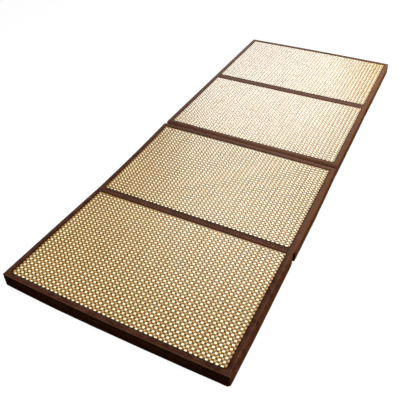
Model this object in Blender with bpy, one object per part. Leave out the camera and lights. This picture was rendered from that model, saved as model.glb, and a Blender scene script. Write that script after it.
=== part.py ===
"""Folding tatami mat: four boxed pads with woven rush faces, bound in brown cloth.

The mat lies open on a floor. X runs across its width and Y along its length, from the
near end at -Y to the far end at +Y. Z is up from the floor, in metres. The origin is
under the middle of the mat. The two outer folds hinge on top and the middle fold hinges
underneath, so the mat folds up in a zigzag.
"""
from collections import namedtuple

import bmesh
import bpy
from mathutils import Vector

# Plan sizes of the mat
MAT_WIDTH = 0.700
SIDE_BORDER = 0.0185
FACE_LENGTH = 0.422
OPEN_FOLD = 0.012

# Heights: the whole mat, its cloth and woven sheets, and the clearance between pieces
MAT_HEIGHT = 0.0490
SHEET = 0.002
GAP = 0.0003

# Soft forms of the boxing. A pad's shoulder at the open fold is a little rounder than the
# cloth over it, by the share SHOULDER_EASE of the drop.
CORNER_RADIUS = 0.006
CORNER_SEGMENTS = 2
NEAR_BULGE = 0.003
FAR_BULGE = 0.001
SIDE_BULGE = 0.001
HINGED_TOP_SETBACK = 0.0005
HINGED_LEAN = 0.0050
OPEN_FOLD_FOOT = 0.0005
LIP_WIDTH = 0.009
LIP_DROP = 0.005
SHOULDER_EASE = 0.1

# The near left corner curls up off the floor
CURL_LIFT = 0.009
CURL_ACROSS = 0.26
CURL_ALONG = 0.24

# Cloth hinge under the middle fold, set in a shallow rebate of both pads
HINGE_HALF_WIDTH = 0.020
HINGE_THICKNESS = 0.0015
HINGE_END_SETBACK = 0.012

# Cells across and along each woven face
CELLS_ACROSS = 14
CELLS_ALONG = 9

# Slack for telling which points lie on a wall, a corner or a level
SLACK = 0.00001

# One row for each panel. Borders are the cloth widths at its two ends. Heights are how far
# its top stands over or under MAT_HEIGHT at the left, middle and right of each end, and
# belly is the same at its mid length.
Panel = namedtuple("Panel", "near_border far_border near_heights far_heights belly")
PANELS = (
    Panel(0.0175, 0.0145, (0.0080, -0.0040, -0.0020), (-0.0070, -0.0045, -0.0020), 0.0005),
    Panel(0.0145, 0.0240, (-0.0070, -0.0045, -0.0020), (0.0020, 0.0030, 0.0010), -0.0035),
    Panel(0.0240, 0.0180, (-0.0010, -0.0040, -0.0010), (-0.0010, 0.0000, 0.0020), 0.0),
    Panel(0.0180, 0.0185, (-0.0010, 0.0000, 0.0020), (-0.0010, 0.0025, 0.0020), 0.0),
)
OPEN_FOLD_AFTER = 1

# Wall section of the boxing. Level is the share of the height from the floor, tuck is how
# far the rounded foot draws in there, and bulge is the share of the wall's own bulge.
WallRow = namedtuple("WallRow", "level tuck bulge")
WALL = (
    WallRow(0.00, 0.0030, 0.6),
    WallRow(0.06, 0.0006, 0.9),
    WallRow(0.20, 0.0000, 1.0),
    WallRow(0.55, 0.0000, 0.8),
    WallRow(1.00, 0.0000, 0.0),
)

HALF_WIDTH = MAT_WIDTH / 2
FACE_HALF = HALF_WIDTH - SIDE_BORDER


def panel_spans():
    """Near edge, face start, face end and far edge of each panel along Y."""
    length = OPEN_FOLD + sum(p.near_border + FACE_LENGTH + p.far_border for p in PANELS)
    y = NEAR_BULGE - (length + NEAR_BULGE + FAR_BULGE) / 2
    spans = []
    for index, panel in enumerate(PANELS):
        face_near = y + panel.near_border
        face_far = face_near + FACE_LENGTH
        far = face_far + panel.far_border
        spans.append((y, face_near, face_far, far))
        y = far + (OPEN_FOLD if index == OPEN_FOLD_AFTER else 0.0)
    return spans


SPANS = panel_spans()


def panel_at(y):
    """Index of the panel that holds Y, split at the middle of each fold."""
    for index in range(len(PANELS) - 1):
        if y < (SPANS[index][3] + SPANS[index + 1][0]) / 2:
            return index
    return len(PANELS) - 1


def lip(index, y):
    """Drop of the top where it rolls into the open fold."""
    if index == OPEN_FOLD_AFTER:
        reach = SPANS[index][3] - y
    elif index == OPEN_FOLD_AFTER + 1:
        reach = y - SPANS[index][0]
    else:
        return 0.0
    return LIP_DROP * max(0.0, 1 - reach / LIP_WIDTH) ** 2


def across(heights, x):
    """Height at X on a parabola through the left, middle and right heights."""
    left, middle, right = heights
    u = x / HALF_WIDTH
    return middle + u * (right - left) / 2 + u * u * ((left + right) / 2 - middle)


def top_height(x, y, index=None):
    """Height of the mat's upper surface over the floor."""
    index = panel_at(y) if index is None else index
    panel = PANELS[index]
    near, far = SPANS[index][0], SPANS[index][3]
    v = (y - near) / (far - near)
    height = (1 - v) * across(panel.near_heights, x) + v * across(panel.far_heights, x)
    return MAT_HEIGHT + height + 4 * v * (1 - v) * panel.belly - lip(index, y)


def underside_height(x, y):
    """Height of the underside: flat on the floor but for the curled corner."""
    u = max(0.0, 1 - (x + HALF_WIDTH) / CURL_ACROSS)
    v = max(0.0, 1 - (y - SPANS[0][0]) / CURL_ALONG)
    return CURL_LIFT * u * u * v * v


def lines_across():
    """X of the lines that cross the width: the cells of the face."""
    step = 2 * FACE_HALF / CELLS_ACROSS
    return [-FACE_HALF + step * i for i in range(CELLS_ACROSS + 1)]


def lines_along(index):
    """Y of the lines along one panel: its ends, the cells of its face, and its rolled lip."""
    near, face_near, face_far, far = SPANS[index]
    step = (face_far - face_near) / CELLS_ALONG
    lines = [near, far] + [face_near + step * i for i in range(CELLS_ALONG + 1)]
    roll = (LIP_WIDTH, CORNER_RADIUS, CORNER_RADIUS / 2)
    if index == OPEN_FOLD_AFTER:
        lines += [far - reach for reach in roll]
    if index == OPEN_FOLD_AFTER + 1:
        lines += [near + reach for reach in roll]
    return lines


def cut(bm, axis, position):
    """Cut every face of the mesh on a plane across one axis."""
    place = Vector((0, 0, 0))
    place[axis] = position
    normal = Vector((0, 0, 0))
    normal[axis] = 1.0
    everything = bm.verts[:] + bm.edges[:] + bm.faces[:]
    bmesh.ops.bisect_plane(bm, geom=everything, dist=SLACK / 10, plane_co=place, plane_no=normal)


def make_material(name, colour, roughness):
    material = bpy.data.materials.new(name)
    material.use_nodes = True
    shader = material.node_tree.nodes["Principled BSDF"]
    shader.inputs["Base Color"].default_value = (*colour, 1.0)
    shader.inputs["Roughness"].default_value = roughness
    shader.inputs["Metallic"].default_value = 0.0
    return material


def new_collection(name):
    collection = bpy.data.collections.new(name)
    bpy.context.scene.collection.children.link(collection)
    return collection


def add_object(name, bm, material, collection):
    """Turn the finished bmesh into an object, split along its shorter diagonals."""
    bmesh.ops.recalc_face_normals(bm, faces=bm.faces[:])
    bmesh.ops.triangulate(bm, faces=bm.faces[:], quad_method="SHORT_EDGE")
    mesh = bpy.data.meshes.new(name)
    bm.to_mesh(mesh)
    bm.free()
    mesh.materials.append(material)
    obj = bpy.data.objects.new(name, mesh)
    collection.objects.link(obj)
    return obj


def wall_row(level):
    """Tuck and bulge of the boxing at one level, from the section table."""
    for lower, upper in zip(WALL, WALL[1:]):
        if level <= upper.level + SLACK:
            s = (level - lower.level) / (upper.level - lower.level)
            tuck = lower.tuck + s * (upper.tuck - lower.tuck)
            return tuck, lower.bulge + s * (upper.bulge - lower.bulge)
    return WALL[-1].tuck, WALL[-1].bulge


def end_inset(index, end, x, level):
    """How far an end wall of a panel stands in from its outline at one level."""
    tuck, bulge = wall_row(level)
    crown = 1 - (x / HALF_WIDTH) ** 2
    if index == 0 and end == "near":
        return tuck - NEAR_BULGE * bulge * crown
    if index == len(PANELS) - 1 and end == "far":
        return tuck - FAR_BULGE * bulge * crown
    opens = (index == OPEN_FOLD_AFTER and end == "far")
    opens = opens or (index == OPEN_FOLD_AFTER + 1 and end == "near")
    if opens:
        foot = OPEN_FOLD / 2 - OPEN_FOLD_FOOT
        return tuck - foot * min(1.0, (1 - level) / (1 - WALL[2].level))
    return HINGED_TOP_SETBACK + tuck / 2 + HINGED_LEAN * (1 - level)


def squared_corner(x, y, index, level):
    """Draw the rounded corner out to a sharp one near the top of the boxing."""
    near, far = SPANS[index][0], SPANS[index][3]
    centre_x = (HALF_WIDTH - CORNER_RADIUS) * (1 if x > 0 else -1)
    centre_y = far - CORNER_RADIUS if y > (near + far) / 2 else near + CORNER_RADIUS
    dx, dy = x - centre_x, y - centre_y
    outside = dx * centre_x > 0 and dy * (centre_y - (near + far) / 2) > 0
    if not outside:
        return x, y
    soft = WALL[3].level
    sharp = max(0.0, (level - soft) / (1 - soft))
    grow = 1 + sharp * (CORNER_RADIUS / max(abs(dx), abs(dy)) - 1)
    return centre_x + dx * grow, centre_y + dy * grow


def make_pad(index, material, collection):
    """One filled pad: its boxing, foot and underside, under the cloth and woven sheets.

    Only the first pad keeps its cells underneath, where its corner curls up.
    """
    near, far = SPANS[index][0], SPANS[index][3]
    bm = bmesh.new()
    bmesh.ops.create_cube(bm, size=1.0)
    bmesh.ops.scale(bm, vec=(MAT_WIDTH, far - near, 1.0), verts=bm.verts)
    bmesh.ops.translate(bm, vec=(0, (near + far) / 2, 0.5), verts=bm.verts)
    upright = [e for e in bm.edges if abs(e.verts[0].co.z - e.verts[1].co.z) > 0.5]
    bmesh.ops.bevel(bm, geom=upright, offset=CORNER_RADIUS, segments=CORNER_SEGMENTS,
                    profile=0.5, affect="EDGES", material=-1)
    for x in lines_across():
        cut(bm, 0, x)
    for y in lines_along(index):
        cut(bm, 1, y)
    for row in WALL[1:-1]:
        cut(bm, 2, row.level)
    if index > 0:
        bottom = [f for f in bm.faces if f.calc_center_median().z < SLACK]
        bmesh.ops.dissolve_faces(bm, faces=bottom, use_verts=False)
    for vert in bm.verts:
        level = vert.co.z
        x, y = squared_corner(vert.co.x, vert.co.y, index, level)
        height = top_height(x, y, index) - SHEET - GAP - SHOULDER_EASE * lip(index, y)
        floor = underside_height(x, y)
        tuck, bulge = wall_row(level)
        if abs(x) > HALF_WIDTH - CORNER_RADIUS + SLACK:
            x -= (tuck - SIDE_BULGE * bulge) * (1 if x > 0 else -1)
        if y < near + CORNER_RADIUS - SLACK:
            y += end_inset(index, "near", x, level)
        if y > far - CORNER_RADIUS + SLACK:
            y -= end_inset(index, "far", x, level)
        vert.co = (x, y, floor + level * (height - floor))
    return add_object(f"pad_{index + 1}", bm, material, collection)


def make_sheet(name, outline, panels, material, collection):
    """A sheet cut to a plan outline and laid over the pads, one sheet thickness deep."""
    bm = bmesh.new()
    bm.faces.new([bm.verts.new((x, y, 0)) for x, y in outline])
    for x in lines_across():
        cut(bm, 0, x)
    for index in panels:
        for y in lines_along(index):
            cut(bm, 1, y)
    for vert in bm.verts:
        vert.co.z = top_height(vert.co.x, vert.co.y)
    lower = bmesh.ops.extrude_face_region(bm, geom=bm.faces[:])["geom"]
    lower_verts = [g for g in lower if isinstance(g, bmesh.types.BMVert)]
    bmesh.ops.translate(bm, vec=(0, 0, -SHEET), verts=lower_verts)
    return add_object(name, bm, material, collection)


def make_face(index, material, collection):
    """The woven rush sheet of one panel."""
    x = FACE_HALF - GAP / 2
    near = SPANS[index][1] + GAP / 2
    far = SPANS[index][2] - GAP / 2
    outline = [(-x, near), (x, near), (x, far), (-x, far)]
    return make_sheet(f"face_{index + 1}", outline, [index], material, collection)


def make_side_binding(name, side, first, material, collection):
    """Cloth along one side of two panels, mitred at both ends."""
    last = first + 1
    inner = side * (FACE_HALF + GAP / 2)
    outer = side * HALF_WIDTH
    outline = [
        (outer, SPANS[first][0] + GAP),
        (inner, SPANS[first][1] + GAP),
        (inner, SPANS[last][2] - GAP),
        (outer, SPANS[last][3] - GAP),
    ]
    return make_sheet(name, outline, [first, last], material, collection)


def make_end_binding(name, index, end, material, collection):
    """Cloth across one end of a panel, mitred into the side bindings."""
    near, face_near, face_far, far = SPANS[index]
    outer_y, inner_y = (near, face_near - GAP / 2) if end == "near" else (far, face_far + GAP / 2)
    outer_x, inner_x = HALF_WIDTH - GAP, FACE_HALF - GAP
    outline = [(-outer_x, outer_y), (outer_x, outer_y), (inner_x, inner_y), (-inner_x, inner_y)]
    return make_sheet(name, outline, [index], material, collection)


def make_top_hinge(name, first, material, collection):
    """Cloth across a fold that hinges on top, from one woven face to the next."""
    x = FACE_HALF - GAP / 2
    near = SPANS[first][2] + GAP / 2
    far = SPANS[first + 1][1] - GAP / 2
    outline = [(-x, near), (x, near), (x, far), (-x, far)]
    return make_sheet(name, outline, [first, first + 1], material, collection)


def make_block(name, size, centre, material, collection):
    bm = bmesh.new()
    bmesh.ops.create_cube(bm, size=1.0)
    bmesh.ops.scale(bm, vec=size, verts=bm.verts)
    bmesh.ops.translate(bm, vec=centre, verts=bm.verts)
    return add_object(name, bm, material, collection)


def make_under_hinge(pads, material, collection, cutters):
    """Cloth under the open fold, and the rebates that it is set in."""
    centre_y = (SPANS[OPEN_FOLD_AFTER][3] + SPANS[OPEN_FOLD_AFTER + 1][0]) / 2
    length = 2 * (HALF_WIDTH - HINGE_END_SETBACK)
    size = (length, 2 * HINGE_HALF_WIDTH, HINGE_THICKNESS)
    make_block("hinge_under_23", size, (0, centre_y, HINGE_THICKNESS / 2), material, collection)
    roof = HINGE_THICKNESS + GAP
    recess = (2 * MAT_WIDTH, size[1] + 2 * GAP, 2 * roof)
    cutter = make_block("hinge_rebate", recess, (0, centre_y, 0), material, cutters)
    cutter.hide_render = True
    cutter.display_type = "WIRE"
    for pad in pads[OPEN_FOLD_AFTER:OPEN_FOLD_AFTER + 2]:
        rebate = pad.modifiers.new("rebate", "BOOLEAN")
        rebate.operation = "DIFFERENCE"
        rebate.solver = "EXACT"
        rebate.object = cutter


def build():
    for obj in list(bpy.data.objects):
        bpy.data.objects.remove(obj, do_unlink=True)
    mat = new_collection("folding_tatami_mat")
    cutters = new_collection("cutters")
    cloth = make_material("brown_cloth", (0.060, 0.026, 0.017), 0.85)
    boxing = make_material("dark_boxing_cloth", (0.022, 0.010, 0.007), 0.9)
    rush = make_material("woven_rush", (0.74, 0.57, 0.34), 0.5)

    pads = [make_pad(index, boxing, mat) for index in range(len(PANELS))]
    for index in range(len(PANELS)):
        make_face(index, rush, mat)
    for first, pair in ((0, "12"), (2, "34")):
        make_side_binding(f"binding_left_{pair}", -1, first, cloth, mat)
        make_side_binding(f"binding_right_{pair}", 1, first, cloth, mat)
        make_top_hinge(f"hinge_top_{pair}", first, cloth, mat)
    make_end_binding("binding_near", 0, "near", cloth, mat)
    make_end_binding("binding_fold_2", 1, "far", cloth, mat)
    make_end_binding("binding_fold_3", 2, "near", cloth, mat)
    make_end_binding("binding_far", 3, "far", cloth, mat)
    make_under_hinge(pads, cloth, mat, cutters)


build()
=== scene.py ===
from collections import namedtuple
from math import radians

import bmesh
import bpy
import numpy as np
from mathutils import Matrix, Vector


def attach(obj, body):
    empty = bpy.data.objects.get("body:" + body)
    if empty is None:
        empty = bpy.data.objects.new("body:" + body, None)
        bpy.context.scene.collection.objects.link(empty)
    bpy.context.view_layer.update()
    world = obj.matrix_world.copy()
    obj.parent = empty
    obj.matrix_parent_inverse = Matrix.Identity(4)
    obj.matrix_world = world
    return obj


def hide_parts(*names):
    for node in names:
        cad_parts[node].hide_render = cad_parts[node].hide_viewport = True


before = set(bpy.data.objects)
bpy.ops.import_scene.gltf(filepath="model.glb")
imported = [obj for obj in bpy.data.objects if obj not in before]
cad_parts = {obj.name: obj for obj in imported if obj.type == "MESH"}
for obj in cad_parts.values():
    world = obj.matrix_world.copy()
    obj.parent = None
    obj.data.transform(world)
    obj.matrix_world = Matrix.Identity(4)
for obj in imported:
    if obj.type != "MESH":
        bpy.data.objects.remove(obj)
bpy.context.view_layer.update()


# CAMERA
# The photograph looks down on the open mat from beyond its near right corner, so the four
# panels run away to the upper right.
CAMERA_PLACE = (0.5859, -1.5275, 1.1289)
CAMERA_TURN, CAMERA_DIP, CAMERA_TILT = 27.233, 39.942, -0.499
camera_data = bpy.data.cameras.new("camera")
camera_data.lens = 45.903
camera_data.sensor_width = 36.0
camera = bpy.data.objects.new("camera", camera_data)
camera.matrix_world = (
    Matrix.Translation(CAMERA_PLACE)
    @ Matrix.Rotation(radians(CAMERA_TURN), 4, "Z")
    @ Matrix.Rotation(radians(90 - CAMERA_DIP), 4, "X")
    @ Matrix.Rotation(radians(CAMERA_TILT), 4, "Z")
)
bpy.context.scene.collection.objects.link(camera)
bpy.context.scene.camera = camera


# THE FOUR PADS
# Each panel is a slab of firm foam sewn into a boxing of dark brown cloth. It is cut square,
# so its top edge is a crease, while the foot is rounded. The near left corner curls up.
# The heights are how far the left, middle and right of an edge stand above the mat's height.
Panel = namedtuple("Panel", "near face_near face_far far near_heights far_heights belly")
PANELS = (
    Panel(-0.9235, -0.9060, -0.4840, -0.4695,
          (0.0080, -0.0040, -0.0020), (-0.0070, -0.0045, -0.0020), 0.0005),
    Panel(-0.4695, -0.4550, -0.0330, -0.0090,
          (-0.0070, -0.0045, -0.0020), (0.0020, 0.0030, 0.0010), -0.0035),
    Panel(0.0030, 0.0270, 0.4490, 0.4670,
          (-0.0010, -0.0040, -0.0010), (-0.0010, 0.0000, 0.0020), 0.0),
    Panel(0.4670, 0.4850, 0.9070, 0.9255,
          (-0.0010, 0.0000, 0.0020), (-0.0010, 0.0025, 0.0020), 0.0),
)
HALF_WIDTH = 0.350
FACE_HALF = 0.3315
MAT_HEIGHT = 0.0490
CLOTH_DEPTH = 0.0023
FOLD_CENTRE = (PANELS[1].far + PANELS[2].near) / 2
REBATE_HALF, REBATE_DEEP = 0.0203, 0.0018
LIP_WIDE, LIP_DEEP = 0.009, 0.005
CURL_ACROSS, CURL_ALONG, CURL_LIFT = 0.26, 0.24, 0.009
NEAR_BULGE, FAR_BULGE, SIDE_BULGE = 0.003, 0.001, 0.001
FOLD_FOOT, HINGED_LEAN, HINGED_SETBACK = 0.0055, 0.0050, 0.0005


def across_heights(heights, x):
    """Height over x on a parabola through the left, middle and right heights."""
    left, middle, right = heights
    u = x / HALF_WIDTH
    return middle + u * (right - left) / 2 + u * u * ((left + right) / 2 - middle)


def lip(index, y):
    """Drop of the top where it rolls into the open middle fold."""
    if index in (0, 3):
        return 0.0 * y
    reach = PANELS[1].far - y if index == 1 else y - PANELS[2].near
    return LIP_DEEP * np.clip(1 - reach / LIP_WIDE, 0, None) ** 2


def top_height(index, x, y):
    """Height over the floor of a panel's upper surface."""
    panel = PANELS[index]
    v = (y - panel.near) / (panel.far - panel.near)
    rise = (1 - v) * across_heights(panel.near_heights, x)
    rise = rise + v * across_heights(panel.far_heights, x) + 4 * v * (1 - v) * panel.belly
    return MAT_HEIGHT + rise - lip(index, y)


def move_points(mesh, move):
    """Moves every point of a mesh by a function of its x, y and z."""
    places = np.empty(len(mesh.vertices) * 3)
    mesh.vertices.foreach_get("co", places)
    x, y, z = places.reshape(-1, 3).T
    mesh.vertices.foreach_set("co", np.column_stack(move(x, y, z)).ravel())
    mesh.update()


def ruled_block(name, *rules):
    """A closed block whose edges fall on three sets of lines: across, along and up."""
    bm = bmesh.new()
    bmesh.ops.create_cube(bm, size=1.0)
    bmesh.ops.translate(bm, vec=(0.5, 0.5, 0.5), verts=bm.verts)
    for axis, lines in enumerate(rules):
        if len(lines) > 2:
            runs = [e for e in bm.edges if abs(e.verts[0].co[axis] - e.verts[1].co[axis]) > 0.9]
            bmesh.ops.subdivide_edges(bm, edges=runs, cuts=len(lines) - 2)
    mesh = bpy.data.meshes.new(name)
    bm.to_mesh(mesh)
    bm.free()
    move_points(mesh, lambda *place: [
        np.interp(p, np.linspace(0, 1, len(lines)), lines) for p, lines in zip(place, rules)])
    return mesh


def new_piece(mesh, finish, slot, *nodes, sharp=40):
    """A finished piece of the mat that stands for the CAD nodes named."""
    mesh.shade_smooth()
    mesh.set_sharp_from_angle(angle=radians(sharp))
    mesh.materials.append(finish)
    piece = bpy.data.objects.new(mesh.name, mesh)
    bpy.context.scene.collection.objects.link(piece)
    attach(piece, "root")
    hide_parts(*nodes)
    return piece


class Wire:
    """One socket of a finish. A sum or product of wires adds its Math node."""

    def __init__(self, finish, socket):
        self.finish = finish
        self.socket = socket

    def sum_node(self, operation, *values):
        settings = {"operation": operation}
        return self.finish.node("ShaderNodeMath", settings, dict(enumerate(values)))

    def __add__(self, other):
        return self.sum_node("ADD", self, other)

    def __mul__(self, other):
        return self.sum_node("MULTIPLY", self, other)

    def sine(self):
        return self.sum_node("SINE", self)


class Finish:
    """A material in the making, on the piece's own Object coordinates."""

    def __init__(self, name, **fixed):
        self.material = bpy.data.materials.new(name)
        self.material.use_nodes = True
        self.tree = self.material.node_tree
        self.shader = self.tree.nodes["Principled BSDF"]
        for socket, value in fixed.items():
            self.shader.inputs[socket.replace("_", " ")].default_value = value
        self.place = self.node("ShaderNodeTexCoord", out="Object")
        parts = self.node("ShaderNodeSeparateXYZ", sockets={0: self.place}).socket.node
        self.x, self.y, self.z = (Wire(self, socket) for socket in parts.outputs)

    def plug(self, socket, value):
        if isinstance(value, Wire):
            self.tree.links.new(value.socket, socket)
        else:
            socket.default_value = value

    def node(self, kind, settings=None, sockets=None, out=0):
        """Adds a node: its settings first, then the values or links of its sockets."""
        made = self.tree.nodes.new(kind)
        for setting, value in (settings or {}).items():
            setattr(made, setting, value)
        for socket, value in (sockets or {}).items():
            self.plug(made.inputs[socket], value)
        return Wire(self, made.outputs[out])

    def join(self, x, y, z):
        return self.node("ShaderNodeCombineXYZ", sockets={0: x, 1: y, 2: z})

    def noise(self, place, scale, detail=3.0):
        sockets = {"Vector": place, "Scale": scale, "Detail": detail}
        return self.node("ShaderNodeTexNoise", sockets=sockets, out="Fac")

    def spread(self, value, low, high, to_low=0.0, to_high=1.0):
        """A value's range from low to high, spread over another range and clipped."""
        sockets = {"Value": value, "From Min": low, "From Max": high,
                   "To Min": to_low, "To Max": to_high}
        return self.node("ShaderNodeMapRange", {"clamp": True}, sockets)

    def blend(self, share, colour, other):
        sockets = {0: share, 6: colour, 7: other}
        return self.node("ShaderNodeMix", {"data_type": "RGBA"}, sockets, out=2)

    def bump(self, height, depth, strength):
        sockets = {"Height": height, "Distance": depth, "Strength": strength}
        self.plug(self.shader.inputs["Normal"], self.node("ShaderNodeBump", sockets=sockets))

    def wear(self, **varied):
        for socket, value in varied.items():
            self.plug(self.shader.inputs[socket.replace("_", " ")], value)
        return self.material


THREAD_WAVE = 6981
# Near black, for seams and for painted shade.
SEAM_AND_SHADE_BLACK = (0.003, 0.0012, 0.0008, 1)
# How much paler painted highlights and painted sheen make the cloth.
PAINTED_HIGHLIGHT_GAIN = (2.2, 3.0, 2.8)


def brown_cloth(name, deep, pale, across, up, rough, **fixed):
    """Plain brown cotton canvas, a little mottled, with slubs along both sets of threads.

    Its seams are near black, and so is the painted shade that an attribute marks on it.
    It is paler where another attribute marks painted highlights and painted sheen. It has
    11 threads to the centimetre.
    """
    cloth = Finish(name, **fixed)
    side = across(cloth)
    rise = up(cloth)
    mottle = cloth.noise(cloth.place, 55.0, 4.0)
    slub_side = cloth.noise(cloth.join(side * 60, rise * 900, 0.0), 1.0)
    slub_rise = cloth.noise(cloth.join(side * 900, rise * 60, 3.0), 1.0)
    shade = cloth.spread(mottle * 0.9 + (slub_side + slub_rise) * 0.35, 0.62, 0.98)
    threads = (side * THREAD_WAVE).sine() * (rise * THREAD_WAVE).sine()
    cloth.bump(threads * 0.25 + slub_side + slub_rise, 0.0003, 0.6)
    dye = cloth.blend(shade, (*deep, 1), (*pale, 1))
    # Painted highlight and painted sheen, where an attribute marks them: paler cloth.
    painted_highlight_mask = cloth.node("ShaderNodeAttribute", {"attribute_name": "painted_highlight"}, out="Fac")
    dye = cloth.blend(painted_highlight_mask * 0.5, dye, (*np.multiply(PAINTED_HIGHLIGHT_GAIN, pale), 1))
    # Seams, and painted shade where an attribute marks it, in near black.
    seam_and_shade = cloth.node("ShaderNodeAttribute", {"attribute_name": "seam_and_shade"}, out="Fac")
    return cloth.wear(Base_Color=cloth.blend(seam_and_shade, dye, SEAM_AND_SHADE_BLACK),
                      Roughness=cloth.spread(seam_and_shade, 0.0, 0.7, rough, 1.0))


# The boxing is the same cloth as the bindings, drawn paler as painted light on the walls of the
# pads.
boxing_cloth = brown_cloth(
    "boxing_cloth", (0.048, 0.0145, 0.0048), (0.098, 0.0330, 0.0130),
    lambda c: c.x + c.y, lambda c: c.z, 0.95, Specular_IOR_Level=0.05)


def rippled(along, level, seed):
    """How far boxing cloth stands out of true: slow waves, and short puckers at the seam."""
    slow = 0.0005 * np.sin(along * 47 + seed) + 0.0003 * np.sin(along * 113 + 2 * seed)
    pucker = 0.00022 * np.sin(along * 390 + 3 * seed) * level ** 2
    return (slow + pucker) * np.sin(np.pi * level)


WANDER_PLACES = (-0.92, -0.75, -0.50, -0.472, -0.465, -0.25, -0.03, 0.30, 0.46, 0.60, 0.92)
WANDER_MM = (0.3, 1.9, 1.5, 0.8, 3.6, 3.9, 0.7, -0.2, -1.4, -0.8, -1.6)


def right_edge(x, y):
    """How far the hand-sewn right edge of the mat wanders out of line."""
    wander = 0.001 * np.interp(y, WANDER_PLACES, WANDER_MM)
    past_rush = (x - FACE_HALF - 0.005) / (HALF_WIDTH - FACE_HALF - 0.007)
    return wander * np.clip(past_rush, 0, 1)


def end_inset(index, far_end, x, level, tuck, bulge):
    """How far an end wall of a pad stands in from its outline."""
    crown = 1 - (x / HALF_WIDTH) ** 2
    if index == 0 and not far_end:
        return tuck - NEAR_BULGE * bulge * crown
    if index == 3 and far_end:
        return tuck - FAR_BULGE * bulge * crown
    if (index, far_end) in ((1, True), (2, False)):
        return tuck - FOLD_FOOT * np.minimum(1, (1 - level) / 0.8)
    return HINGED_SETBACK + tuck / 2 + HINGED_LEAN * (1 - level)


def pad_shape(index, block):
    """Turns a square block, with its height from 0 to 1, into one pad."""
    panel = PANELS[index]
    middle = (panel.near + panel.far) / 2
    half = (panel.far - panel.near) / 2

    def shape(x, y, level):
        # Painted shade on the boxing cloth: darker at the foot and in a band just below the top
        # edge.
        stitched = np.interp(level, (0, .06, .12, .80, .84, .88, .92),
                             (.8, .5, 0, 0, .35, .35, 0))
        # Painted highlight: paler cloth along the top edge of the boxing.
        painted_edge_highlight = np.interp(level, (.88, .96), (0, 1))
        tuck = np.interp(level, (0, .02, .06, .12, .20), (.0030, .0016, .0006, .0002, 0))
        tuck = tuck + np.interp(level, (.78, .88, .96, 1), (0, .0014, .0014, .0004))
        bulge = np.interp(level, (0, .06, .20, .55, 1), (.6, .9, 1, .8, 0))
        # Corners that are square at the top of the boxing and rounded below
        near_right = (index == 0) * (x > 0) * (y < middle)
        at_hinge = (y > middle) if index in (0, 2) else (y < middle)
        radius = 0.004 + 0.006 * (near_right | at_hinge)
        from_side = np.clip((np.abs(x) - HALF_WIDTH + radius) / radius, 0, 1)
        from_end = np.clip((np.abs(y - middle) - half + radius) / radius, 0, 1)
        # Painted shade in the corners beside the hinged folds.
        stitched = np.maximum(stitched, 0.8 * at_hinge * np.clip(1.5 * from_end, 0, 1))
        block.attributes.new("seam_and_shade", "FLOAT", "POINT").data.foreach_set("value", stitched)
        block.attributes.new("painted_highlight", "FLOAT", "POINT").data.foreach_set("value", painted_edge_highlight)
        soft = 1 - np.clip((level - 0.55) / 0.45, 0, 1)
        side_in = radius * from_side * (1 - np.sqrt(1 - from_end ** 2 / 2)) * soft
        end_in = radius * from_end * (1 - np.sqrt(1 - from_side ** 2 / 2)) * soft
        to_side, to_far = np.sign(x), np.sign(y - middle)
        inset_near = end_inset(index, False, x, level, tuck, bulge)
        inset_far = end_inset(index, True, x, level, tuck, bulge)
        height = top_height(index, x, y) - CLOTH_DEPTH
        u = np.clip(1 - (x + HALF_WIDTH) / CURL_ACROSS, 0, None)
        v = np.clip(1 - (y - PANELS[0].near) / CURL_ALONG, 0, None)
        foot = CURL_LIFT * u * u * v * v
        foot = foot + REBATE_DEEP * (np.abs(y - FOLD_CENTRE) < REBATE_HALF)
        side_wave = rippled(y, level, index + 0.5 * to_side)
        end_wave = rippled(x, level, index + 4 + 0.5 * to_far)
        side_inset = tuck - SIDE_BULGE * bulge
        new_x = x - to_side * (side_in + from_side * (side_inset - side_wave))
        inset = np.where(to_far > 0, inset_far, inset_near)
        new_y = y - to_far * (end_in + from_end * (inset - end_wave))
        return new_x + right_edge(x, y), new_y, foot + level * (height - foot)

    return shape


CORNER_LINES = np.array((0, 0.001, 0.002, 0.003, 0.004, 0.006, 0.008, 0.010))
PAD_LEVELS = (0, .02, .06, .09, .12, .20, .32, .44, .56, .68, .78, .84, .88, .92, .96, 1)


def with_corners(low, high, step):
    """Lines from low to high, close together where the corners are rounded."""
    inner = np.linspace(low + 0.018, high - 0.018, int((high - low) / step))
    return np.concatenate((low + CORNER_LINES, inner, high - CORNER_LINES[::-1]))


for index, panel in enumerate(PANELS):
    along = with_corners(panel.near, panel.far, 0.012)
    if index in (1, 2):
        toward = -1 if index == 1 else 1
        step_at = FOLD_CENTRE + toward * REBATE_HALF
        along = np.sort(np.append(along, (step_at - 0.0001, step_at + 0.0001)))
    block = ruled_block(f"pad_cover_{index + 1}", with_corners(-HALF_WIDTH, HALF_WIDTH, 0.012),
                        along, PAD_LEVELS)
    move_points(block, pad_shape(index, block))
    pad = new_piece(block, boxing_cloth, "boxing_cloth", f"pad_{index + 1}", sharp=50)


# THE WOVEN FACES
# Each face is a plain weave of split rush. Wide strips run the length of the panel, by turns
# natural tan and bleached cream, over and under thin dark cords that run across it.
CORDS = 64
STRIPS = 93
CREAM_SHARE = 0.54
STRIP_GAP = 0.0006
WEAVE_MARGIN = 0.0003
FIRST_CORD = 0.30
STRIP_RISE, CORD_RISE = 0.00036, 0.00020
STRIP_CROWN, CORD_CROWN = 0.00016, 0.00020
CORD_WIDTH = 0.0034
WEAVE_LEVEL = -0.0010
BACKING_LEVEL, BACKING_DEPTH, BACKING_INSET = -0.00195, 0.00025, 0.0001


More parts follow.
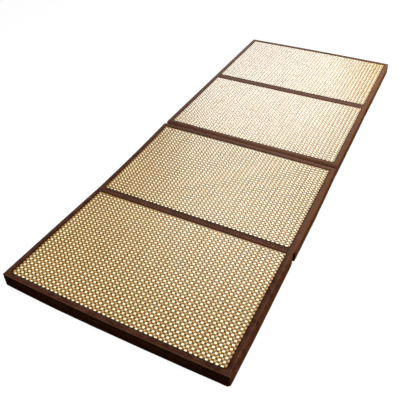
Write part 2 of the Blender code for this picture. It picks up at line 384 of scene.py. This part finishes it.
def rush(name, low, deep, pale, ripe, along, across, **fixed):
    """Dried rush, split and flattened: fine fibres along the strip, uneven in tone.

    It is painted darker where it dives under a crossing, as painted shade between strips and
    cords, and some strips have dried riper than others.
    """
    straw = Finish(name, **fixed)
    run, over = along(straw), across(straw)
    tone = straw.noise(straw.join(over * 72, run * 5, 0.0), 1.0, 1.0)
    fibre = straw.noise(straw.join(over * 1700, run * 70, 7.0), 1.0, 3.0)
    shade = straw.spread(tone * 0.75 + fibre * 0.55, 0.42, 0.86)
    crest = straw.node("ShaderNodeAttribute", {"attribute_name": "crest"}, out="Fac")
    straw.bump(fibre, 0.00025, 0.4)
    hue = straw.spread(straw.noise(straw.join(over * 70, run * 3, 20.0), 1.0, 1.0), 0.38, 0.62)
    skin = straw.blend(shade, (*deep, 1), straw.blend(hue, (*pale, 1), (*ripe, 1)))
    # Painted shade: the first colour where the strip dives under a crossing.
    return straw.wear(Base_Color=straw.blend(straw.spread(crest, -0.3, 0.9), (*low, 1), skin),
                      Roughness=straw.spread(fibre, 0.3, 0.7, 0.18, 0.30))


# The first colour of each rush is the painted shade where it dives under a crossing.
cream_rush = rush("cream_rush", (0.32, 0.165, 0.045), (0.80, 0.66, 0.38), (0.98, 0.90, 0.66),
                  (0.93, 0.89, 0.62), lambda s: s.y, lambda s: s.x, IOR=2.4)
tan_rush = rush("tan_rush", (0.14, 0.058, 0.012), (0.38, 0.187, 0.052), (0.65, 0.37, 0.135),
                (0.56, 0.38, 0.120), lambda s: s.y, lambda s: s.x, IOR=2.4,
                Sheen_Weight=0.3, Sheen_Roughness=0.3, Sheen_Tint=(1.0, 0.93, 0.75, 1))
cord_rush = rush("dark_cord", (0.018, 0.0070, 0.0012), (0.060, 0.0230, 0.0030),
                 (0.150, 0.070, 0.010), (0.130, 0.075, 0.010), lambda s: s.x, lambda s: s.y,
                 IOR=1.8, Sheen_Weight=0.5, Sheen_Roughness=0.3,
                 Sheen_Tint=(1.0, 0.90, 0.70, 1))
backing_cloth = brown_cloth(
    "backing_cloth", (0.010, 0.0045, 0.0020), (0.022, 0.010, 0.005),
    lambda c: c.x, lambda c: c.y, 0.95, Specular_IOR_Level=0.1)

pair = 2 * (FACE_HALF - WEAVE_MARGIN) / (STRIPS // 2 + 1 - CREAM_SHARE)
strip_widths = np.where(np.arange(STRIPS) % 2, CREAM_SHARE, 1 - CREAM_SHARE) * pair
strip_edges = WEAVE_MARGIN - FACE_HALF + np.concatenate(((0,), np.cumsum(strip_widths)))
strip_centres = (strip_edges[1:] + strip_edges[:-1]) / 2


def split_strips(name, along_axis, centres, width, crown, runs):
    """Three-sided strips with a low crown, side by side, each cut into equal runs."""
    bm = bmesh.new()
    lay = Matrix.Rotation(radians(90), 4, "X")
    if along_axis == "X":
        lay = Matrix.Rotation(radians(90), 4, "Z") @ lay
    section = Matrix.Diagonal((width / 3 ** 0.5, crown / 1.5, 1, 1))
    bmesh.ops.create_cone(bm, cap_ends=True, segments=3, radius1=1, radius2=1, depth=1,
                          matrix=lay @ section)
    axis = "XY".index(along_axis)
    long_edges = [e for e in bm.edges
                  if abs(e.verts[0].co[axis] - e.verts[1].co[axis]) > 0.5]
    bmesh.ops.subdivide_edges(bm, edges=long_edges, cuts=runs - 1)
    aside = Vector((0, 1, 0)) if along_axis == "X" else Vector((1, 0, 0))
    bmesh.ops.translate(bm, vec=aside * centres[0], verts=bm.verts)
    strip = bm.verts[:] + bm.edges[:] + bm.faces[:]
    for step in np.diff(centres):
        strip = bmesh.ops.duplicate(bm, geom=strip)["geom"]
        points = [part for part in strip if isinstance(part, bmesh.types.BMVert)]
        bmesh.ops.translate(bm, vec=aside * step, verts=points)
    bmesh.ops.recalc_face_normals(bm, faces=bm.faces)
    mesh = bpy.data.meshes.new(name)
    bm.to_mesh(mesh)
    bm.free()
    return mesh


def mark_crests(mesh, crest):
    """Keeps how high each point of a strip stands in the weave, for its finish to read."""
    mesh.attributes.new("crest", "FLOAT", "POINT").data.foreach_set("value", crest)


def woven(index, mesh, kind, unevenness):
    """How flat strips or cords bend over and under one another on one panel."""
    panel = PANELS[index]
    pitch = (panel.face_far - panel.face_near) / CORDS
    start = panel.face_near + (FIRST_CORD - 0.5) * pitch

    def bend_strips(x, y, z):
        column = np.clip(np.searchsorted(strip_edges, x) - 1, 0, STRIPS - 1)
        reach = (y + 0.5) * (CORDS + 0.5) - 0.25
        row = np.clip(np.floor(reach), 0, CORDS - 1)
        over = np.where((column + row) % 2 == 1, 1.0, -1.0)
        over = np.where(reach > CORDS, -0.6, over)
        new_y = np.clip(start + reach * pitch, panel.face_near + WEAVE_MARGIN,
                        panel.face_far - WEAVE_MARGIN)
        mark_crests(mesh, over)
        rise = STRIP_RISE * over * (1 + 0.12 * unevenness[column])
        wander = 0.00005 * unevenness[column] * np.sin(new_y * 60 + column)
        level = top_height(index, x, new_y) + WEAVE_LEVEL
        return x + wander, new_y, level + rise + z

    def bend_cords(x, y, z):
        row = np.clip(np.floor((y - start) / pitch), 0, CORDS - 1).astype(int)
        reach = (x + 0.5) * (STRIPS + 0.5) - 0.25
        column = np.clip(np.floor(reach), 0, STRIPS - 1)
        over = np.where((column + row) % 2 == 0, 1.0, -1.0)
        over = np.where((reach < 0) | (reach > STRIPS), -0.6, over)
        new_x = np.interp(reach, np.arange(STRIPS + 1), strip_edges)
        mark_crests(mesh, over)
        rise = CORD_RISE * over * (1 + 0.15 * unevenness[row])
        level = top_height(index, new_x, y) + WEAVE_LEVEL
        return new_x, y, level + rise + z

    return bend_cords if kind == "cord" else bend_strips


draw = np.random.default_rng(7)
for index, panel in enumerate(PANELS):
    number = index + 1
    face = f"face_{number}"
    columns = np.linspace(-FACE_HALF + BACKING_INSET, FACE_HALF - BACKING_INSET, 15)
    rows = np.linspace(panel.face_near + BACKING_INSET, panel.face_far - BACKING_INSET, 10)
    backing = ruled_block(f"backing_{number}", columns, rows, (0, 1))
    move_points(backing, lambda x, y, level: (
        x, y, top_height(index, x, y) + BACKING_LEVEL - BACKING_DEPTH * (1 - level)))
    backing = new_piece(backing, backing_cloth, "woven_rush", face)
    for colour, first, finish in (("tan", 0, tan_rush), ("cream", 1, cream_rush)):
        mesh = split_strips(f"{colour}_strips_{number}", "Y", strip_centres[first::2],
                            strip_widths[first] - STRIP_GAP, STRIP_CROWN, 2 * CORDS + 1)
        move_points(mesh, woven(index, mesh, "strip", draw.uniform(-1, 1, STRIPS)))
        new_piece(mesh, finish, "woven_rush", face)
    pitch = (panel.face_far - panel.face_near) / CORDS
    rows = panel.face_near + pitch * (np.arange(CORDS) + FIRST_CORD)
    mesh = split_strips(f"cords_{number}", "X", rows, CORD_WIDTH, CORD_CROWN, 2 * STRIPS + 1)
    move_points(mesh, woven(index, mesh, "cord", draw.uniform(-1, 1, CORDS)))
    new_piece(mesh, cord_rush, "woven_rush", face)


# THE SIDE BINDINGS
# A folded strip of brown cloth is sewn along each side of the mat, over the edge of the rush.
# Each runs on over the hinged fold of its two panels, and is mitred at both ends.
binding_cloth = brown_cloth(
    "binding_cloth", (0.017, 0.0050, 0.0026), (0.057, 0.0190, 0.0100),
    lambda c: c.x, lambda c: c.y, 0.5, Specular_IOR_Level=0.06, Sheen_Weight=0.22,
    Sheen_Roughness=0.4, Sheen_Tint=(1.0, 0.64, 0.48, 1))
HAIRLINE = 0.00015
SHEET = 0.0020
SEAM_DEEP, SEAM_WIDE = 0.0005, 0.0046
CLEAR = 0.0003


def roll(distance, wide, deep):
    """Drop of a folded edge, round like a quarter of an ellipse."""
    s = 1 - np.clip(distance / wide, 0, 1)
    return deep * (1 - np.sqrt(np.clip(1 - s * s, 0, 1)))


def sunk(distance, deep):
    """Drop of a stitched hem: flat for 3 mm, then rising to the padded cloth beside it."""
    s = np.clip((distance - 0.0028) / 0.0022, 0, 1)
    return deep * (1 - s * s * (3 - 2 * s))


def laid_cloth(name, inner, outer, panels, stitched, seed, turn=0.0018, painted_roll_shade=0.0,
               inner_seam=None, hem=0.4):
    """A strip of folded cloth between two plan lines, paled toward the far end by painted
    sheen.

    Its inner edge is sewn down beside the rush in a near black ditch, and so is its outer
    edge where it is stitched; a stitched strip also has a painted highlight across its near
    part and painted shade over its far half. Otherwise the outer edge turns down over the
    given width, with a painted highlight along the turn and painted shade over the turned
    part, as deep as the share given. The function inner_seam gives how much of the ditch
    shows along the inner edge, and hem how dark the cloth is between the stitches and the rush.
    """
    (ax, ay), (bx, by) = inner
    (cx, cy), (dx, dy) = outer
    wide = ((cx - ax) ** 2 + (cy - ay) ** 2) ** 0.5
    long = max(abs(bx - ax), abs(by - ay))
    ditch = np.array((0, 0.0002, 0.0008, 0.0018, 0.0028, 0.0033, 0.0038, 0.0043, 0.0050))
    turned = np.array((0, 0.0001, 0.0003, 0.0006, 0.0010, 0.0015, 0.0022, 0.0035))
    middle = np.linspace(0.0065, wide - 0.0065, max(3, int(wide / 0.0025)))
    outer_lines = wide - (ditch if stitched else turned)[::-1]
    lines = np.concatenate((ditch, middle, outer_lines)) / wide
    ends = np.array((0, 0.0002, 0.0006, 0.0012)) / long
    runs = np.concatenate((ends, np.linspace(0.004, long - 0.004, int(long / 0.005)) / long,
                           1 - ends[::-1]))
    cloth = ruled_block(name, lines, runs, (0, 1))

    def shape(u, v, level):
        x = (1 - u) * ((1 - v) * ax + v * bx) + u * ((1 - v) * cx + v * dx)
        y = (1 - u) * ((1 - v) * ay + v * by) + u * ((1 - v) * cy + v * dy)
        run = x + y
        stitched_down = inner_seam(x, y) if inner_seam else 1 + 0 * x
        from_inner, from_outer = u * wide, (1 - u) * wide
        drop = sunk(from_inner, SEAM_DEEP * stitched_down)
        drop = drop + roll(np.minimum(v, 1 - v) * long, 0.0009, 0.0002)
        dark = np.interp(from_inner, (0.0012, 0.0024, 0.0034, SEAM_WIDE), (hem, 1, 1, 0))
        seam_and_shade = stitched_down * dark
        if stitched:
            drop = drop + sunk(from_outer, SEAM_DEEP)
            seam_and_shade = np.maximum(0.5 * seam_and_shade, np.clip((SEAM_WIDE - from_outer) / 0.0012, 0, 1))
            # Painted shade over the far half of a hinge strip.
            seam_and_shade = np.maximum(seam_and_shade, 0.2 * np.clip((u - 0.45) / 0.2, 0, 1))
            # Painted highlight across the near part of a hinge strip.
            painted_highlight = 0.4 * np.clip(1 - np.abs(u - 0.3) / 0.35, 0, 1)
        else:
            drop = drop + (0.0009 + 0.1 * turn) * np.clip(1 - from_outer / turn, 0, 1) ** 2
            # Painted highlight along the turn of the outer edge.
            painted_highlight = np.clip(1 - np.abs(from_outer - turn) / 0.0020, 0, 1)
            # Painted shade over the turned-down edge, as deep as the given share.
            seam_and_shade = np.maximum(seam_and_shade, painted_roll_shade * np.clip((turn - from_outer) / 0.0020, 0, 1))
        side = x / HALF_WIDTH
        # Painted sheen, paler toward the far end and most on the right.
        painted_far_sheen = np.clip((y + 0.45 + 0.15 * side) / (0.6 - 0.3 * side), 0, 1)
        painted_highlight = np.clip(painted_highlight + (0.4 if stitched else 0.9) * painted_far_sheen, 0, 1)
        for mark, values in (("seam_and_shade", seam_and_shade), ("painted_highlight", painted_highlight)):
            cloth.attributes.new(mark, "FLOAT", "POINT").data.foreach_set("value", values)
        swell = (0.0008 + 0.00012 * np.sin(run * 83 + seed)) * np.sin(np.pi * u)
        swell = swell + 0.00008 * np.sin(run * 410 + 2 * seed) * (1 - u) ** 2
        height = top_height(panels[0], x, y)
        if len(panels) > 1:
            height = np.where(y > PANELS[panels[1]].near, top_height(panels[1], x, y), height)
        upper = height + 0.0002 - drop + swell
        return x + right_edge(x, y), y, level * upper + (1 - level) * (height - SHEET)

    move_points(cloth, shape)
    bm = bmesh.new()
    bm.from_mesh(cloth)
    bmesh.ops.recalc_face_normals(bm, faces=bm.faces)
    bm.to_mesh(cloth)
    bm.free()
    return cloth


for side, hand in ((-1, "left"), (1, "right")):
    for first, pair_name in ((0, "12"), (2, "34")):
        start, end = PANELS[first], PANELS[first + 1]
        inner_x = side * (FACE_HALF + HAIRLINE)
        outer_x = side * HALF_WIDTH

        def inner_seam(x, y, start=start):
            """The seam is plain beside the rush and faint where the hinge cloth meets it."""
            past_hinge = np.abs(y - start.far) - (start.far - start.face_far)
            return 0.3 + 0.5 * np.clip(past_hinge / 0.002, 0, 1)

        inner = (inner_x, start.face_near + CLEAR), (inner_x, end.face_far - CLEAR)
        outer = (outer_x, start.near + CLEAR), (outer_x, end.far - CLEAR)
        # Painted shade darkens the turned-down edge of the left bindings only.
        mesh = laid_cloth(f"side_binding_{hand}_{pair_name}", inner, outer, (first, first + 1),
                          False, first + side, turn=0.0085, painted_roll_shade=0.2 - 0.2 * side,
                          inner_seam=inner_seam)
        binding = new_piece(mesh, binding_cloth, "binding_cloth", f"binding_{hand}_{pair_name}")


# THE END BINDINGS
# The same cloth crosses both ends of the mat and both lips of the open middle fold, where it
# rolls down into the fold. Every strip is mitred into the side bindings.
for node, index, far_end in (("binding_near", 0, False), ("binding_fold_2", 1, True),
                             ("binding_fold_3", 2, False), ("binding_far", 3, True)):
    panel = PANELS[index]
    outer_y = panel.far if far_end else panel.near
    inner_y = panel.face_far + HAIRLINE if far_end else panel.face_near - HAIRLINE
    outer_x, inner_x = HALF_WIDTH - CLEAR, FACE_HALF - CLEAR
    mesh = laid_cloth(node.replace("binding", "end_binding"),
                      ((-inner_x, inner_y), (inner_x, inner_y)),
                      ((-outer_x, outer_y), (outer_x, outer_y)),
                      (index,), False, index, hem=1.0 if index == 0 else 0.4)
    binding = new_piece(mesh, binding_cloth, "binding_cloth", node)


# THE TOP HINGES
# Where two panels fold face to face, one strip of the cloth runs from rush to rush over the
# fold and is the hinge itself.
for node, first in (("hinge_top_12", 0), ("hinge_top_34", 2)):
    near_y = PANELS[first].face_far + HAIRLINE
    far_y = PANELS[first + 1].face_near - HAIRLINE
    half = FACE_HALF - HAIRLINE
    mesh = laid_cloth(node.replace("hinge_top", "top_hinge"), ((-half, near_y), (half, near_y)),
                      ((-half, far_y), (half, far_y)), (first, first + 1), True, first + 5)
    hinge = new_piece(mesh, binding_cloth, "binding_cloth", node)


# THE UNDER HINGE
# The middle fold opens upward, so its hinge is a strip of cloth glued under the two pads.
UNDER_HALF_LONG, UNDER_HALF_WIDE, UNDER_THICK = 0.338, 0.020, 0.0015
under_hinge = ruled_block("under_hinge", np.linspace(-UNDER_HALF_LONG, UNDER_HALF_LONG, 60),
                          FOLD_CENTRE + np.linspace(-UNDER_HALF_WIDE, UNDER_HALF_WIDE, 9),
                          (0, UNDER_THICK))
under_hinge = new_piece(under_hinge, binding_cloth, "binding_cloth", "hinge_under_23")


# FLOOR AND LIGHT
# A plain white floor and backdrop that throw no light back. Soft daylight comes low from the
# right, with a lamp over the near end, a weak one before it and a small one at the far end.
# One bright window stands behind the far end, and its gloss pales the far rush.
FLOOR_RADIUS, FLOOR_GLOW, BACKDROP_GLOW = 9.0, 0.93, 0.95
bm = bmesh.new()
bmesh.ops.create_circle(bm, cap_ends=True, segments=64, radius=FLOOR_RADIUS)
floor_mesh = bpy.data.meshes.new("floor")
bm.to_mesh(floor_mesh)
bm.free()
floor_paint = Finish("floor_paint", Base_Color=(0.12, 0.12, 0.12, 1), Roughness=1.0,
                     Specular_IOR_Level=0.0, Emission_Color=(1, 1, 1, 1),
                     Emission_Strength=FLOOR_GLOW)
floor_mesh.materials.append(floor_paint.material)
floor = bpy.data.objects.new("floor", floor_mesh)
floor.visible_diffuse = floor.visible_glossy = False
bpy.context.scene.collection.objects.link(floor)


def lamp(name, place, aim, power, glossy, **settings):
    """A soft lamp aimed at a spot. Only a glossy one shows in the gloss of the rush."""
    light = bpy.data.lights.new(name, "AREA")
    light.energy = power
    for setting, value in settings.items():
        setattr(light, setting, value)
    holder = bpy.data.objects.new(name, light)
    holder.location = place
    holder.visible_glossy = glossy
    holder.rotation_euler = (Vector(aim) - Vector(place)).to_track_quat("-Z", "Y").to_euler()
    bpy.context.scene.collection.objects.link(holder)


lamp("daylight", (2.6, -0.1, 1.1), (0.0, 0.0, 0.0), 80, False, size=1.2)
lamp("near_lamp", (-0.12, -0.62, 1.6), (-0.05, -0.58, 0.0), 33, False, size=0.9)
lamp("front_lamp", (0.3, -3.5, 1.0), (0.0, -0.9, 0.0), 10, False, size=2.0)
lamp("far_lamp", (0.8, 0.95, 0.55), (0.3, 0.65, 0.0), 12, False, size=0.4)
lamp("window", (-1.15, 3.5, 1.9), (0.0, 0.45, 0.0), 58, True, shape="RECTANGLE", size=2.0,
     size_y=2.8)

world = bpy.data.worlds.new("room")
world.use_nodes = True
world.node_tree.nodes["Background"].inputs["Color"].default_value = (1, 1, 1, 1)
world.node_tree.nodes["Background"].inputs["Strength"].default_value = BACKDROP_GLOW
world.cycles_visibility.glossy = world.cycles_visibility.diffuse = False
bpy.context.scene.world = world
bpy.context.scene.view_settings.view_transform = "Standard"
